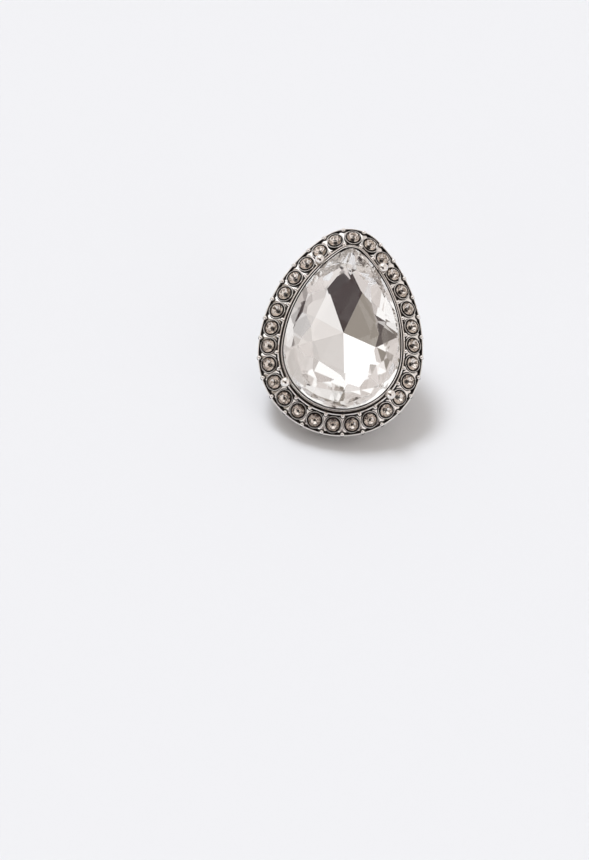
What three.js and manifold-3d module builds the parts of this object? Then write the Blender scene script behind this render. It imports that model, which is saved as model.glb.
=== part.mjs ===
// Pear-shaped halo stud earring: a cast frame with a claw-set, foil-backed pear stone, a halo of
// small round stones round it, and a straight ear post in its back. Millimetres, +Z up.
// The earring lies as it does by itself on a table: on the lower rim of its back and on the
// end of its post, with the face turned up and towards -Y.
//
// The earring's own frame, before it is laid down: x to the right seen from the front, y from the
// round end to the tip, z out of the face. Its origin is the centre of the round end's arc, in
// the plane of the halo stones' girdles. Every ring of the frame is parallel to the centre
// stone's girdle, so a place on it is an angle or a share of the way round, and an offset.
import * as THREE from "three";
import { mergeVertices } from "three/addons/utils/BufferGeometryUtils.js";
import Module from "manifold-3d";

// Centre stone
const STONE_WIDTH = 13.0;
const STONE_HEIGHT = 18.4;
const STONE_TIP_RADIUS = 1.8;
const GIRDLE_LEVEL = 1.2; // middle of the girdle, over the halo stones' girdles
const GIRDLE_THICKNESS = 0.45;
const CROWN_HEIGHT = 1.75;
const PAVILION_DEPTH = 1.9;
const CULET_Y = 2.0; // the culet and the middle of the table, up from the round end's centre
const MAIN_FACETS = 8; // kites round the crown, and as many mains in the pavilion
const TABLE_SHARE = 0.6; // table corner, as a share of the way from the middle to the girdle
const STAR_SHARE = 0.78; // lower corner of a star facet
const STAR_RISE_SHARE = 0.6; // and its height, as a share of the crown's
const LOWER_SHARE = 0.62; // inner corner of two lower-girdle facets
const LOWER_DEPTH_SHARE = 0.43; // and its depth, as a share of the pavilion's

// Halo stones
const HALO_COUNT = 28;
const HALO_STONE_DIAMETER = 1.64;
const HALO_OFFSET = 1.6; // from the centre stone's girdle to the row's centre line
const HALO_CROWN_HEIGHT = 0.34;
const HALO_TABLE_DIAMETER = 0.92;
const HALO_GIRDLE_THICKNESS = 0.1;
const HALO_PAVILION_DEPTH = 0.6;
const HALO_STAND_PROUD = 0.06; // girdle over the band
const HALO_TABLE_SIDES = 8;

// Frame
const STONE_GAP = 0.06; // round every stone in its seat
const COLLET_THICKNESS = 0.16;
const COLLET_TOP = 1.36;
const COLLET_BEVEL = 0.07; // each side of its top edge
const MOAT_WIDTH = 0.22; // dark line between the collet and the band
const MOAT_FLOOR = 0.3;
const BAND_WIDTH = 2.29;
const BAND_SLOPE_DEG = 27; // the band falls away outwards
const LIP_WIDTH = 0.12; // plain polished edge, outside and inside the stones
const LIP_RISE = 0.07;
const BACK_DEPTH = 2.8; // back face, under the halo stones' girdles
const BACK_BEVEL = 0.06; // round the back face's edge
const WALL_UNDERCUT = 0.6; // from the band's edge in to the back's
const WALL_BULGE = 0.04;
const BASE_LIP_HEIGHT = 0.35;
const GROOVE_HEIGHT = 0.16;
const GROOVE_DEPTH = 0.18;
const SEAT_LEDGE = 0.4; // wall of a halo seat that is straight, before it narrows
const SEAT_FLOOR_DIAMETER = 0.5;
const SEAT_SIDES = 10;

// Bead grips and channels of the band
const BEAD_DIAMETER = 0.5;
const BEAD_FROM_ROW = 0.92; // to each side of the halo stones' centre line
const BEAD_RISE = 0.09; // bead's middle over the band
const BEAD_SIDES = 10;
const BEAD_ROWS = 3;
const CHANNEL_WIDTH = 0.3; // dark channel inside each lip, which the beads cut into slots
const CHANNEL_DEPTH = 0.28;

// Claws
const CLAW_SHARES = [2.3 / 28, 10.45 / 28, 17.6 / 28, 25.65 / 28]; // way round from the tip
const CLAW_OFFSET = 0.74;
const CLAW_DIAMETER = 1.16;
const CLAW_BALL_LEVEL = 1.32;
const CLAW_NECK_DIAMETER = 0.7;
const CLAW_SIDES = 12;

// Ear post
const POST_DIAMETER = 0.72;
const POST_REACH = 12.0; // past the back face
const POST_Y = 10.9;
const POST_TIP_CHAMFER = 0.12;
const SOCKET_DEPTH = 1.1;
const SOCKET_GAP = 0.04;
const POST_SIDES = 12;

// Sides of the outline's arcs. An odd number gives the round end a level side to lie on.
const ROUND_END_SIDES = 23;
const FLANK_SIDES = 6;
const TIP_SIDES = 6;

const wasm = await Module();
wasm.setup();

// The girdle outline: a round end, two flanks that are arcs, and a rounded tip, all tangent.
const endRadius = STONE_WIDTH / 2;
const tipCentreY = STONE_HEIGHT - endRadius - STONE_TIP_RADIUS;
const flankRadius =
  (endRadius ** 2 - STONE_TIP_RADIUS ** 2 + tipCentreY ** 2) /
  (2 * (endRadius - STONE_TIP_RADIUS));
const flankCentreX = flankRadius - endRadius;
const flankAngle = Math.atan2(tipCentreY, flankCentreX);

// Its arcs, counter-clockwise seen from the front, from the top of the tip.
const arcs = [
  [0, tipCentreY, STONE_TIP_RADIUS, Math.PI / 2, Math.PI - flankAngle],
  [flankCentreX, 0, flankRadius, Math.PI - flankAngle, Math.PI],
  [0, 0, endRadius, Math.PI, 2 * Math.PI],
  [-flankCentreX, 0, flankRadius, 2 * Math.PI, 2 * Math.PI + flankAngle],
  [0, tipCentreY, STONE_TIP_RADIUS, 2 * Math.PI + flankAngle, 2.5 * Math.PI],
].map(([x, y, radius, from, to]) => ({ x, y, radius, from, to }));

function pointOnArc(arc, angle, offset) {
  const nx = Math.cos(angle);
  const ny = Math.sin(angle);
  const reach = arc.radius + offset;
  return { x: arc.x + reach * nx, y: arc.y + reach * ny, nx, ny };
}

// The point that lies a share of the way round the outline at this offset.
function pointAtShare(share, offset) {
  const lengths = arcs.map((arc) => (arc.to - arc.from) * (arc.radius + offset));
  const whole = lengths.reduce((sum, length) => sum + length, 0);
  let left = (share - Math.floor(share)) * whole;
  let index = 0;
  while (index < arcs.length - 1 && left > lengths[index]) {
    left -= lengths[index];
    index += 1;
  }
  const arc = arcs[index];
  return pointOnArc(arc, arc.from + left / (arc.radius + offset), offset);
}

// The frame's outline at an offset, with the same normals at every offset.
function outline(offset) {
  const sides = [TIP_SIDES / 2, FLANK_SIDES, ROUND_END_SIDES, FLANK_SIDES, TIP_SIDES / 2];
  return arcs.flatMap((arc, i) =>
    Array.from({ length: sides[i] }, (_, k) =>
      pointOnArc(arc, arc.from + ((arc.to - arc.from) * k) / sides[i], offset),
    ),
  );
}

// A closed mesh from its corners and its faces, each a list of three or more corners.
function closedGeometry(corners, faces) {
  const triangles = faces.flatMap((face) =>
    face.slice(2).map((_, k) => [face[0], face[k + 1], face[k + 2]]),
  );
  const geometry = new THREE.BufferGeometry();
  geometry.setAttribute("position", new THREE.Float32BufferAttribute(corners.flat(), 3));
  geometry.setIndex(triangles.flat());
  return geometry;
}

// Rings of points stacked from a first pole to a last one.
function stackedRings(firstPole, rings, lastPole) {
  const count = rings[0].length;
  const corners = [firstPole, ...rings.flat(), lastPole];
  const at = (ring, k) => 1 + ring * count + (k % count);
  const faces = [];
  for (let k = 0; k < count; k += 1) {
    faces.push([0, at(0, k + 1), at(0, k)]);
    for (let ring = 0; ring < rings.length - 1; ring += 1) {
      faces.push([at(ring, k), at(ring, k + 1), at(ring + 1, k + 1), at(ring + 1, k)]);
    }
    faces.push([corners.length - 1, at(rings.length - 1, k), at(rings.length - 1, k + 1)]);
  }
  return closedGeometry(corners, faces);
}

function solidFrom(geometry) {
  const plain = geometry.clone();
  plain.deleteAttribute("normal");
  plain.deleteAttribute("uv");
  const merged = mergeVertices(plain, 1e-4);
  return new wasm.Manifold(
    new wasm.Mesh({
      numProp: 3,
      vertProperties: new Float32Array(merged.attributes.position.array),
      triVerts: new Uint32Array(merged.index.array),
    }),
  );
}

function geometryFrom(solid) {
  const mesh = solid.getMesh();
  const geometry = new THREE.BufferGeometry();
  geometry.setAttribute("position", new THREE.BufferAttribute(mesh.vertProperties, 3));
  geometry.setIndex(new THREE.BufferAttribute(mesh.triVerts, 1));
  geometry.computeVertexNormals();
  return geometry;
}

// The band's upper surface.
const bandInner = STONE_GAP + COLLET_THICKNESS + MOAT_WIDTH;
const bandOuter = bandInner + BAND_WIDTH;
const backOuter = bandOuter - WALL_UNDERCUT;
const bandSlope = THREE.MathUtils.degToRad(BAND_SLOPE_DEG);
const bandLevel = (offset) => (HALO_OFFSET - offset) * Math.tan(bandSlope);

// Axes of a place on the band: along the row, across the band outwards, and out of its surface.
function placeOnBand(share, offset, rise) {
  const point = pointAtShare(share, offset);
  const along = new THREE.Vector3(point.ny, -point.nx, 0);
  const out = new THREE.Vector3(
    point.nx * Math.sin(bandSlope),
    point.ny * Math.sin(bandSlope),
    Math.cos(bandSlope),
  );
  const across = new THREE.Vector3().crossVectors(out, along);
  const matrix = new THREE.Matrix4().makeBasis(along, across, out);
  const foot = new THREE.Vector3(point.x, point.y, bandLevel(offset));
  return matrix.setPosition(foot.addScaledVector(out, rise));
}

// A turned solid along +Z from a profile of radius and height, listed from the bottom up.
function turned(profile, sides) {
  const points = profile.map(([radius, height]) => new THREE.Vector2(radius, height));
  return new THREE.LatheGeometry(points, sides).rotateX(Math.PI / 2);
}

// The frame before the beads, claws and seats: a back face, a wall with a groove over the base
// lip, the band, the moat and the collet, and inside the collet a floor that the cup is cut in.
const girdleBottom = GIRDLE_LEVEL - GIRDLE_THICKNESS / 2;

function frameBody() {
  const ring = (offset, level) => outline(offset).map(({ x, y }) => [x, y, level]);
  const onBand = (offset, rise) => ring(offset, bandLevel(offset) + rise);
  const innerLip = bandInner + LIP_WIDTH;
  const outerLip = bandOuter - LIP_WIDTH;
  const wallTop = bandLevel(bandOuter) + LIP_RISE - LIP_WIDTH / 2;
  const grooveTop = -BACK_DEPTH + BASE_LIP_HEIGHT + GROOVE_HEIGHT;
  const grooveBottom = -BACK_DEPTH + BASE_LIP_HEIGHT;
  const wallMiddle = (wallTop + grooveTop) / 2;
  const onWall = (level, out) =>
    ring(backOuter + (WALL_UNDERCUT * (level + BACK_DEPTH)) / (wallTop + BACK_DEPTH) + out, level);
  const rings = [
    ring(backOuter - BACK_BEVEL, -BACK_DEPTH),
    onWall(-BACK_DEPTH + BACK_BEVEL, 0),
    onWall(grooveBottom, 0),
    onWall(grooveBottom, -GROOVE_DEPTH),
    onWall(grooveTop, -GROOVE_DEPTH),
    onWall(grooveTop, 0),
    onWall(wallMiddle, WALL_BULGE),
    ring(bandOuter, wallTop),
    onBand(bandOuter - LIP_WIDTH / 2, LIP_RISE),
    onBand(outerLip, 0),
    onBand(outerLip, -CHANNEL_DEPTH),
    onBand(outerLip - CHANNEL_WIDTH, -CHANNEL_DEPTH),
    onBand(outerLip - CHANNEL_WIDTH, 0),
    onBand(innerLip + CHANNEL_WIDTH, 0),
    onBand(innerLip + CHANNEL_WIDTH, -CHANNEL_DEPTH),
    onBand(innerLip, -CHANNEL_DEPTH),
    onBand(innerLip, 0),
    onBand(bandInner + LIP_WIDTH / 2, LIP_RISE),
    onBand(bandInner, 0),
    ring(bandInner, MOAT_FLOOR),
    ring(STONE_GAP + COLLET_THICKNESS, MOAT_FLOOR),
    ring(STONE_GAP + COLLET_THICKNESS, COLLET_TOP - COLLET_BEVEL),
    ring(STONE_GAP + COLLET_THICKNESS / 2, COLLET_TOP),
    ring(STONE_GAP, COLLET_TOP - COLLET_BEVEL),
    ring(STONE_GAP, girdleBottom - STONE_GAP),
  ];
  const floor = [0, CULET_Y, girdleBottom - STONE_GAP];
  return solidFrom(stackedRings([0, CULET_Y, -BACK_DEPTH], rings, floor));
}

function seatCutter() {
  const radius = HALO_STONE_DIAMETER / 2 + STONE_GAP;
  const floor = HALO_STAND_PROUD - HALO_GIRDLE_THICKNESS / 2 - HALO_PAVILION_DEPTH - 2 * STONE_GAP;
  return turned(
    [
      [0, floor],
      [SEAT_FLOOR_DIAMETER / 2, floor],
      [radius, -SEAT_LEDGE],
      [radius, BEAD_DIAMETER],
      [0, BEAD_DIAMETER],
    ],
    SEAT_SIDES,
  );
}

function claw(share) {
  const { x, y } = pointAtShare(share, CLAW_OFFSET);
  const radius = CLAW_DIAMETER / 2;
  const neck = CLAW_NECK_DIAMETER / 2;
  const foot = MOAT_FLOOR - neck;
  const steps = 5;
  const top = Math.asin(neck / radius);
  const ball = Array.from({ length: steps + 1 }, (_, k) => {
    const angle = Math.PI - top - ((Math.PI - top) * k) / steps;
    return [radius * Math.sin(angle), CLAW_BALL_LEVEL + radius * Math.cos(angle)];
  });
  return turned([[0, foot], [neck, foot], ...ball], CLAW_SIDES).translate(x, y, 0);
}

// The pear stone: a table, stars, kites and upper-girdle facets on the crown, and mains and
// lower-girdle facets under the girdle. The girdle's edges dip and rise so that each facet
// that meets them is flat. A gap makes it larger all over, to cut its own room.
function centreStone(gap) {
  const half = MAIN_FACETS * 2;
  const arcSteps = 3;
  const crownFoot = GIRDLE_LEVEL + GIRDLE_THICKNESS / 2 + gap;
  const pavilionTop = GIRDLE_LEVEL - GIRDLE_THICKNESS / 2 - gap;
  const middle = new THREE.Vector2(0, CULET_Y);
  const inwards = (k, share, level) => {
    const point = pointAtShare(k / half, gap);
    const place = new THREE.Vector2(point.x, point.y).sub(middle).multiplyScalar(share).add(middle);
    return new THREE.Vector3(place.x, place.y, level);
  };
  const corners = [];
  const add = (point) => corners.push(point.toArray()) - 1;
  const faces = [];
  const starLevel = crownFoot + CROWN_HEIGHT * STAR_RISE_SHARE;
  const lowerLevel = pavilionTop - PAVILION_DEPTH * LOWER_DEPTH_SHARE;
  const table = [];
  const stars = [];
  const lowers = [];
  for (let k = 0; k < half; k += 2) {
    table.push(add(inwards(k, TABLE_SHARE, crownFoot + CROWN_HEIGHT)));
    stars.push(add(inwards(k + 1, STAR_SHARE, starLevel)));
    lowers.push(add(inwards(k + 1, LOWER_SHARE, lowerLevel)));
  }
  const culet = add(new THREE.Vector3(0, CULET_Y, pavilionTop - PAVILION_DEPTH));
  const upper = [];
  const lower = [];
  for (let k = 0; k < half; k += 1) {
    const star = new THREE.Vector3().fromArray(corners[stars[Math.floor(k / 2)]]);
    const deep = new THREE.Vector3().fromArray(corners[lowers[Math.floor(k / 2)]]);
    const above = new THREE.Plane().setFromCoplanarPoints(
      star, inwards(k, 1, crownFoot), inwards(k + 1, 1, crownFoot));
    const below = new THREE.Plane().setFromCoplanarPoints(
      deep, inwards(k, 1, pavilionTop), inwards(k + 1, 1, pavilionTop));
    for (let step = 0; step < arcSteps; step += 1) {
      const onGirdle = inwards(k + step / arcSteps, 1, 0);
      const levelOn = (plane) =>
        -(plane.normal.x * onGirdle.x + plane.normal.y * onGirdle.y + plane.constant) /
        plane.normal.z;
      upper.push(add(onGirdle.clone().setZ(step ? levelOn(above) : crownFoot)));
      lower.push(add(onGirdle.clone().setZ(step ? levelOn(below) : pavilionTop)));
    }
  }
  const rim = upper.length;
  for (let k = 0; k < half; k += 1) {
    const from = k * arcSteps;
    for (let step = from; step < from + arcSteps; step += 1) {
      const next = (step + 1) % rim;
      faces.push([lower[step], lower[next], upper[next], upper[step]]);
      faces.push([stars[Math.floor(k / 2)], upper[step], upper[next]]);
      faces.push([lowers[Math.floor(k / 2)], lower[next], lower[step]]);
    }
  }
  for (let k = 0; k < MAIN_FACETS; k += 1) {
    const next = (k + 1) % MAIN_FACETS;
    const before = (k + MAIN_FACETS - 1) % MAIN_FACETS;
    const main = 2 * k * arcSteps;
    faces.push([table[k], stars[k], table[next]]);
    faces.push([table[k], upper[main], stars[k]]);
    faces.push([table[k], stars[before], upper[main]]);
    faces.push([culet, lowers[k], lower[main]]);
    faces.push([culet, lower[main], lowers[before]]);
  }
  faces.push(table);
  return closedGeometry(corners, faces);
}

// A small round stone, girdle in the plane z = 0: a table, a ring of crown facets and a cone of
// pavilion facets. Each corner of the table stands over the middle of every other girdle side.
function haloStone() {
  const sides = 2 * HALO_TABLE_SIDES;
  const ring = (diameter, level, count, turn) =>
    Array.from({ length: count }, (_, k) => {
      const angle = (2 * Math.PI * (k + turn)) / count;
      return [(diameter / 2) * Math.cos(angle), (diameter / 2) * Math.sin(angle), level];
    });
  const girdle = HALO_GIRDLE_THICKNESS / 2;
  const corners = [
    ...ring(HALO_TABLE_DIAMETER, girdle + HALO_CROWN_HEIGHT, HALO_TABLE_SIDES, 0.25),
    ...ring(HALO_STONE_DIAMETER, girdle, sides, 0),
    ...ring(HALO_STONE_DIAMETER, -girdle, sides, 0),
    [0, 0, -girdle - HALO_PAVILION_DEPTH],
  ];
  const table = (k) => k % HALO_TABLE_SIDES;
  const upper = (k) => HALO_TABLE_SIDES + (k % sides);
  const lower = (k) => HALO_TABLE_SIDES + sides + (k % sides);
  const faces = [Array.from({ length: HALO_TABLE_SIDES }, (_, k) => k)];
  for (let k = 0; k < HALO_TABLE_SIDES; k += 1) {
    faces.push([table(k), upper(2 * k), upper(2 * k + 1)]);
    faces.push([table(k), upper(2 * k + 1), upper(2 * k + 2), table(k + 1)]);
  }
  for (let k = 0; k < sides; k += 1) {
    faces.push([upper(k), lower(k), lower(k + 1), upper(k + 1)]);
    faces.push([lower(k), corners.length - 1, lower(k + 1)]);
  }
  return closedGeometry(corners, faces);
}

// The post stands in a blind socket in the back.
const postTip = -BACK_DEPTH - POST_REACH;

function earPost(radius, from, to, chamfer) {
  return turned(
    [
      [0, from],
      [radius - chamfer, from],
      [radius, from + chamfer],
      [radius, to],
      [0, to],
    ],
    POST_SIDES,
  ).translate(0, POST_Y, 0);
}

function castFrame() {
  const beadOffsets = [HALO_OFFSET - BEAD_FROM_ROW, HALO_OFFSET + BEAD_FROM_ROW];
  const bead = new THREE.SphereGeometry(BEAD_DIAMETER / 2, BEAD_SIDES, BEAD_ROWS).rotateX(Math.PI / 2);
  const seat = seatCutter();
  const placed = (geometry, share, offset, rise) =>
    solidFrom(geometry.clone().applyMatrix4(placeOnBand(share, offset, rise)));
  let solid = frameBody();
  for (let k = 0; k < HALO_COUNT; k += 1) {
    for (const offset of beadOffsets) {
      solid = solid.add(placed(bead, (k + 0.5) / HALO_COUNT, offset, BEAD_RISE));
    }
  }
  for (const share of CLAW_SHARES) solid = solid.add(solidFrom(claw(share)));
  for (let k = 0; k < HALO_COUNT; k += 1) {
    solid = solid.subtract(placed(seat, k / HALO_COUNT, HALO_OFFSET, 0));
  }
  solid = solid.subtract(solidFrom(centreStone(STONE_GAP)));
  const socketTop = -BACK_DEPTH + SOCKET_DEPTH;
  const socket = earPost(
    POST_DIAMETER / 2 + SOCKET_GAP, -BACK_DEPTH - SOCKET_GAP, socketTop + SOCKET_GAP, 0);
  return geometryFrom(solid.subtract(solidFrom(socket)));
}

const rhodium = { color: 0xd9dade, roughness: 0.16, metalness: 1 };
const postSteel = { color: 0x7c7a78, roughness: 0.34, metalness: 1 };
const crystal = { color: 0xeef1f4, roughness: 0.03, metalness: 0.1 };
const smallCrystal = { color: 0xd8d2ca, roughness: 0.05, metalness: 0.1 };

function mesh(name, geometry, look) {
  const made = new THREE.Mesh(geometry, new THREE.MeshStandardMaterial(look));
  made.name = name;
  return made;
}

const earring = new THREE.Group();
earring.add(mesh("cast_frame", castFrame(), rhodium));
earring.add(mesh("centre_stone", centreStone(0), crystal));
const post = mesh(
  "ear_post",
  earPost(POST_DIAMETER / 2, postTip, -BACK_DEPTH + SOCKET_DEPTH, POST_TIP_CHAMFER),
  postSteel,
);
earring.add(post);
for (let k = 0; k < HALO_COUNT; k += 1) {
  const stone = mesh("halo_stone_" + String(k + 1).padStart(2, "0"), haloStone(), smallCrystal);
  stone.applyMatrix4(placeOnBand(k / HALO_COUNT, HALO_OFFSET, HALO_STAND_PROUD));
  earring.add(stone);
}

// Laid down: the plane through the level side of the back's round end and the post's lowest
// corner is the table. Its tilt is the steepest that a corner of the post asks for.
const restingEdgeY = Math.min(...outline(backOuter - BACK_BEVEL).map(({ y }) => y));
const postCorners = post.geometry.attributes.position;
let tilt = 0;
for (let k = 0; k < postCorners.count; k += 1) {
  const drop = -BACK_DEPTH - postCorners.getZ(k);
  tilt = Math.max(tilt, Math.atan2(drop, postCorners.getY(k) - restingEdgeY));
}
earring.rotation.x = tilt;
earring.updateMatrixWorld(true);

const box = new THREE.Box3().setFromObject(earring, true);
earring.position.set(-(box.min.x + box.max.x) / 2, -(box.min.y + box.max.y) / 2, -box.min.z);

const part = new THREE.Group();
part.add(earring);
export default part;
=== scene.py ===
"""A pear-shaped halo stud earring as it looks: a cast, rhodium-plated and polished setting, a
foil-backed pear crystal under four ball claws, a row of small foil-backed crystals, and a steel
ear post.

The earring lies on its round end's back rim and on the end of its post. Its own frame has x to
the right seen from the front, y from the round end to the tip and z out of the face, with its
origin at the centre of the round end's arc, in the plane of the small stones' girdles. Every
shape is worked out in that frame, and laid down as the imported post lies.
"""

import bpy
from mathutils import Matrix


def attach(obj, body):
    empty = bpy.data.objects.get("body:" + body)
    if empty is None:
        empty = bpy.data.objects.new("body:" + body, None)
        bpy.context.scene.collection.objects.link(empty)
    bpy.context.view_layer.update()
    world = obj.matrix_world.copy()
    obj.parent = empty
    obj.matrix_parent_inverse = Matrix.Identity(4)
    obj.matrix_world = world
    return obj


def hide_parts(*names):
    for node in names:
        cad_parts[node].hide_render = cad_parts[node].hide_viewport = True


bl_info = {
    "name": "Pear halo stud earring",
    "version": (1, 0, 0),
    "blender": (4, 5, 0),
    "location": "View3D > Sidebar > Earring",
    "description": "Builds the finished surfaces of a pear-shaped halo stud earring",
    "category": "Add Mesh",
}

import math

import bmesh
import bpy
import numpy as np
from bpy.props import FloatProperty, IntProperty, PointerProperty, StringProperty
from bpy.types import Operator, Panel, PropertyGroup
from mathutils import Matrix

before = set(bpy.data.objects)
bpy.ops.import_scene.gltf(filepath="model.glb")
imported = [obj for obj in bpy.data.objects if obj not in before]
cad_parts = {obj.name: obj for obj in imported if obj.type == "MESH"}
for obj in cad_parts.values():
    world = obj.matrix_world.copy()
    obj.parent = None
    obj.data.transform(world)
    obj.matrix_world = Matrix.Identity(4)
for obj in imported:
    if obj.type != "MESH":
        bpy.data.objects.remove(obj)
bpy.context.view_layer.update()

MM = 0.001
BODY = "root"


def length(name, default, description):
    """A size in metres, from a default in millimetres."""
    return FloatProperty(name=name, default=default * MM, description=description,
                         unit="LENGTH", precision=6)


def share(name, default, description):
    """A plain number from 0 to 1."""
    return FloatProperty(name=name, default=default, description=description, min=0.0, max=1.0)


def degrees(name, default, description):
    """An angle in radians, from a default in degrees."""
    return FloatProperty(name=name, default=math.radians(default), description=description,
                         unit="ROTATION")


def colour(name, default, description):
    """A colour written as an sRGB hex value."""
    return StringProperty(name=name, default=default, description=description)


class PearStoneSizes(PropertyGroup):
    """The pear stone's girdle outline and the places of its facets."""

    width: length("Width", 13.0, "Across the round end")
    height: length("Height", 18.4, "From the round end to the tip")
    tip_radius: length("Tip radius", 1.8, "Radius of the rounded tip")
    girdle_level: length("Girdle level", 1.2, "Middle of the girdle, over the small stones' girdles")
    girdle: length("Girdle thickness", 0.4, "Height of the plain edge")
    crown: length("Crown height", 1.75, "From the girdle to the table")
    pavilion: length("Pavilion depth", 1.6, "From the girdle to the culet")
    middle: length("Middle", 2.0, "Middle of the table, up from the round end's centre")
    culet: length("Culet", 2.3, "Where the foiled facets meet, up from the round end's centre")
    table: share("Table", 0.6, "Table corner, as a share of the way to the girdle")
    star: share("Star", 0.78, "Lower corner of a star facet, as a share of the way to the girdle")
    star_rise: share("Star rise", 0.6, "Height of that corner, as a share of the crown")
    mains_rise: share("Mains' rise", 0.85, "Height that the mains reach at the girdle, of the depth")


class SettingSizes(PropertyGroup):
    """The cast frame's section and its claws."""

    gap: length("Gap", 0.06, "Round the pear stone in its collet")
    collet: length("Collet", 0.16, "Thickness of the thin wall round the pear stone")
    collet_top: length("Collet top", 1.36, "Its upper edge")
    # The moat's dark line is painted shade: its faces take the dark recess colour
    moat: length("Moat", 0.22, "Dark line between the collet and the band")
    moat_floor: length("Moat floor", 0.3, "Level of its floor")
    band: length("Band", 2.29, "Width of the band that holds the small stones")
    slope: degrees("Slope", 27, "How much the band falls away outwards")
    lip: length("Lip", 0.15, "Width of the plain edges of the band")
    lip_rise: length("Lip rise", 0.06, "How far they stand over the band")
    # The trough's dark floor is painted shade: its faces take the dark recess colour
    trough: length("Trough", 0.42, "Depth of the blackened floor round the small stones")
    back: length("Back", 2.8, "Back face under the small stones' girdles")
    back_bevel: length("Back bevel", 0.06, "Round the back face's edge")
    undercut: length("Undercut", 0.6, "From the band's edge in to the back's")
    bulge: length("Bulge", 0.04, "How far the side wall swells")
    base_lip: length("Base lip", 0.35, "Height of the rim round the back")
    groove: length("Groove", 0.16, "Height of the groove over that rim")
    groove_depth: length("Groove depth", 0.18, "How far the groove goes in")
    softening: length("Softening", 0.035, "Radius that polishing leaves on an edge")
    claw: length("Claw", 1.16, "Diameter of a claw's ball")
    claw_neck: length("Claw neck", 0.7, "Diameter of its neck")
    claw_offset: length("Claw offset", 0.74, "From the pear stone's girdle to a claw's middle")
    claw_level: length("Claw level", 1.32, "Level of a ball's middle")


class HaloSizes(PropertyGroup):
    """The row of small round stones and what grips them."""

    count: IntProperty(name="Count", default=28, description="Small stones in the row", min=3)
    offset: length("Offset", 1.6, "From the pear stone's girdle to the row's centre line")
    stone: length("Stone", 1.42, "Diameter of a small stone")
    crown: length("Crown", 0.3, "Height of its crown")
    pavilion: length("Pavilion", 0.51, "Depth of its pavilion")
    girdle: length("Girdle", 0.06, "Height of its plain edge")
    table: share("Table", 0.56, "Diameter of its table, as a share of the stone's")
    proud: length("Proud", 0.06, "How far its girdle stands over the band")
    seat: length("Seat", 1.78, "Inner diameter of the ring that a stone sits in")
    ring: length("Ring", 0.07, "Thickness of that ring")
    web: length("Web", 1.0, "Length along the row of the metal that a bead stands on")
    # Beyond this reach from the row's centre line the web's top takes painted shade
    web_shade_start: length("Web polish", 0.9, "How far from the row's centre line that metal is bright")
    web_drop: length("Web drop", 0.06, "How far that metal lies under the band's surface")
    web_fall: length("Web fall", 0.09, "How far its rounded top falls away to its sides")
    bead: length("Bead", 0.5, "Diameter of the beads between the stones")
    bead_from_row: length("Bead from row", 0.92, "From the row's centre line to a bead's middle")
    bead_rise: length("Bead rise", 0.03, "How far a bead's middle stands over the band")
    bead_ring: length("Bead ring", 0.09, "Width of the dark cut round a bead")


class PostSizes(PropertyGroup):
    """The straight ear post."""

    diameter: length("Diameter", 0.72, "Wire diameter")
    reach: length("Reach", 12.0, "How far it goes past the back face")
    place: length("Place", 10.9, "Up from the round end's centre")
    chamfer: length("Chamfer", 0.12, "Taper at its end")
    fillet: length("Solder fillet", 0.22, "Width of the solder at its foot")


class EarringFinishes(PropertyGroup):
    """Colours of the metals, the painted shade of the recesses, the crystal and the studio."""

    rhodium: colour("Rhodium", "#efebe7", "Polished rhodium plating")
    # recess is painted shade: a dark colour that stands in for the shade in the frame's hollows, cuts
    # and grooves
    recess: colour("Recess", "#26201c", "Blackened metal in the recesses")
    foil: colour("Foil", "#f6f5f4", "Silver foil behind the pear stone")
    halo_foil: colour("Halo foil", "#e6dfd8", "Aged foil behind the small stones")
    steel: colour("Steel", "#8b8784", "Drawn steel of the post")
    sheet: colour("Sheet", "#dbdcdd", "Paper that the earring lies on")


GROUPS = {
    "earring_pear": PearStoneSizes,
    "earring_setting": SettingSizes,
    "earring_halo": HaloSizes,
    "earring_post": PostSizes,
    "earring_finish": EarringFinishes,
}


# Way round from the tip of each claw, counter-clockwise seen from the front, in halo pitches
CLAW_PITCHES = (2.3, 10.45, 17.6, 25.65)

# The pear stone's mains under the girdle: the direction of the edge that each one starts at, in
# degrees round the culet, how far that edge runs and how far the main's own point reaches, both
# as shares of the way to the girdle
PEAR_MAINS = (
    (71.0, 0.52, 0.76),
    (115.6, 0.63, 0.84),
    (159.6, 0.74, 0.84),
    (204.6, 0.74, 0.88),
    (276.6, 0.74, 0.88),
    (340.5, 0.45, 0.56),
)

# The same for a small round stone, and the shares that its star facets and its mains reach
ROUND_MAINS = tuple((45.0 * k, 0.74, 1.0) for k in range(8))
ROUND_STAR, ROUND_STAR_RISE = 0.78, 0.56
ROUND_MAINS_RISE = 0.9

# Facets whose normal rises less than this carry foil
FOILED_BELOW = 0.05

# How far a small stone leans in its seat, as a spread in degrees, and the seed of its chance
STONE_LEAN = 1.5
SEED = 7

# Shares of a bead's radius, of the dark cut's width and of the solder's width
BEAD_NECK = 0.94
BEAD_CUT_RISE = 0.2
FILLET_SAG = 0.3

# How finely shapes are divided, and the tolerance of a cut in millimetres
CROWN_MAINS = 8
TURNED_SIDES = 32
OUTLINE_STEPS = 720
PEAR_STEPS = 128
ROUND_STEPS = 48
WEB_ROWS, WEB_COLUMNS = 15, 13
BEAD_STEPS, CLAW_STEPS = 10, 20
SOFT_STEPS = 4
CUT_TOLERANCE = 1e-4

# Edges of webs and beads that turn more than this many degrees stay sharp
SHARP_TURN = 50


# The pear outline

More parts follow.
